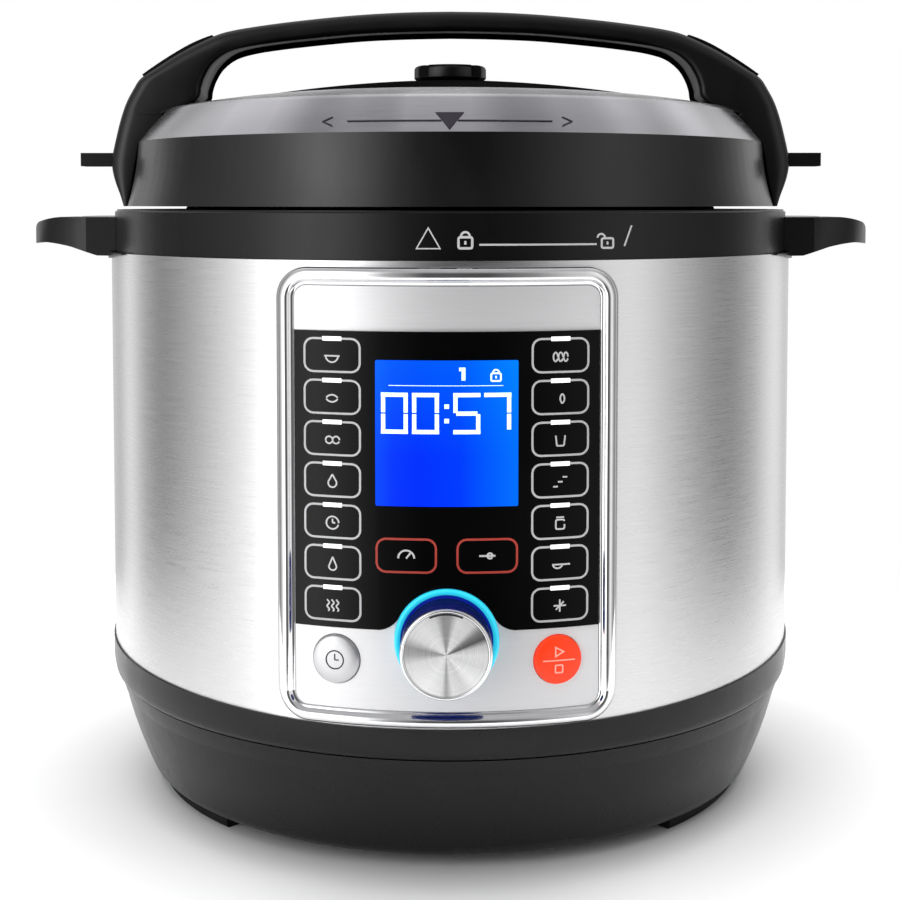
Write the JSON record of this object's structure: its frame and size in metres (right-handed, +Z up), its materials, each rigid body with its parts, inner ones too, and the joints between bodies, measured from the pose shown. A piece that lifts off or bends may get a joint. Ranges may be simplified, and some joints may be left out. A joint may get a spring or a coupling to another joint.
{
  "type": "electric pressure cooker",
  "caption": "Round electric pressure cooker with a lift-off locking lid, steel inner pot, arched lid handle, side handles and a tall front control panel.",
  "frame": {"origin": "on the body's axis, at the surface that the feet stand on", "axes": "+Z up, the control panel faces -Y, the side handles point along X"},
  "size_m": [0.4008, 0.368, 0.3616],
  "materials": {
    "black_body": "satin black moulded plastic",
    "handle_black": "satin black moulded plastic",
    "gloss_black": "polished black plastic",
    "foot_rubber": "matte black rubber",
    "brushed_shell": "brushed round the body",
    "pot_steel": "satin spun steel",
    "small_steel": "bright steel",
    "screw_steel": "black zinc",
    "silver_trim": "silver metallic satin",
    "bezel_chrome": "polished chrome",
    "knob_metal": "spun aluminium with a bright edge",
    "heater_metal": "cast aluminium",
    "silicone": "translucent white silicone",
    "display_blue": "lit blue display",
    "light_cyan": "lit translucent ring",
    "button_silver": "satin silver",
    "button_red": "glossy red-orange",
    "clear_cup": "clear plastic",
    "inner_plastic": "matte black",
    "board_green": "solder mask",
    "relay_blue": "blue case",
    "copper": "copper and tinned brass",
    "core_yellow": "taped winding"
  },
  "bodies": {
    "cooker": {"base_bowl": "black_body", "base_rim": "black_body", "foot_1": "foot_rubber", "foot_2": "foot_rubber", "foot_3": "foot_rubber", "foot_4": "foot_rubber", "bottom_cover": "inner_plastic", "bottom_screws": "screw_steel", "steel_shell": "brushed_shell", "collar": "black_body", "side_handle_left": "black_body", "side_handle_right": "black_body", "collar_screws": "screw_steel", "outer_pot": "pot_steel", "heating_plate": "heater_metal", "heater_terminals": "small_steel", "sensor_bracket": "small_steel", "sensor_spring": "small_steel", "pressure_switch": "inner_plastic", "thermal_fuse": "copper", "power_board": "board_green", "relay": "relay_blue", "transformer": "core_yellow", "inlet_socket": "inner_plastic", "inlet_pins": "copper", "control_board": "board_green", "display_module": "inner_plastic", "display_lens": "display_blue", "panel_face": "silver_trim", "panel_window": "gloss_black", "panel_bezel": "bezel_chrome", "light_ring": "light_cyan", "encoder_body": "inner_plastic", "tact_switches": "inner_plastic", "collector_bracket": "inner_plastic"},
    "pot": {"inner_pot": "pot_steel"},
    "sensor": {"sensor_cup": "heater_metal"},
    "knob": {"knob_cap": "knob_metal", "encoder_shaft": "small_steel"},
    "button_left": {"button_left": "button_silver"},
    "button_right": {"button_right": "button_red"},
    "collector": {"collector_cup": "clear_cup"},
    "seal": {"sealing_ring": "silicone"},
    "lid": {"lid_wall": "black_body", "lid_trim": "silver_trim", "lid_dome": "gloss_black", "pressure_lid": "pot_steel", "ring_rack": "small_steel", "lid_handle": "handle_black", "shoulder_cap_left": "gloss_black", "shoulder_cap_right": "gloss_black", "rest_tab_left": "handle_black", "rest_tab_right": "handle_black", "exhaust_pipe": "small_steel", "pipe_nut": "small_steel", "steam_shield": "small_steel", "handle_screws": "screw_steel"},
    "valve": {"valve_knob": "handle_black"},
    "float": {"float_pin": "small_steel", "float_seal": "silicone"}
  },
  "joints": [
    {"name": "lid_lift", "type": "slide", "parent": "cooker", "child": "seal", "axis": [0, 0, 1], "range_m": [0, 0.4]},
    {"name": "lid_turn", "type": "hinge", "parent": "seal", "child": "lid", "pos_m": [0, 0, 0.26], "axis": [0, 0, 1], "range_deg": [0, 22]},
    {"name": "pot_lift", "type": "slide", "parent": "cooker", "child": "pot", "axis": [0, 0, 1], "range_m": [0, 0.18]},
    {"name": "valve_turn", "type": "hinge", "parent": "lid", "child": "valve", "pos_m": [0, 0, 0.33], "axis": [0, 0, 1], "range_deg": [0, 40]},
    {"name": "float_rise", "type": "slide", "parent": "lid", "child": "float", "axis": [0, 0, 1], "range_m": [0, 0.003]},
    {"name": "knob_turn", "type": "hinge", "parent": "cooker", "child": "knob", "pos_m": [0, -0.17, 0.0998], "axis": [0, -1, 0], "continuous": true},
    {"name": "button_left_press", "type": "slide", "parent": "cooker", "child": "button_left", "axis": [0.2666, 0.9638, 0], "range_m": [0, 0.001], "stiffness_N_per_m": 1500},
    {"name": "button_right_press", "type": "slide", "parent": "cooker", "child": "button_right", "axis": [-0.2666, 0.9638, 0], "range_m": [0, 0.001], "stiffness_N_per_m": 1500},
    {"name": "sensor_press", "type": "slide", "parent": "cooker", "child": "sensor", "axis": [0, 0, -1], "range_m": [0, 0.0015], "stiffness_N_per_m": 2000, "deforming": ["sensor_spring"]},
    {"name": "collector_pull", "type": "slide", "parent": "cooker", "child": "collector", "axis": [0, 1, 0], "range_m": [0, 0.05]}
  ],
  "couplings": [
    {"joint": "pot_lift", "follows": "lid_lift", "ratio": 0.45}
  ]
}
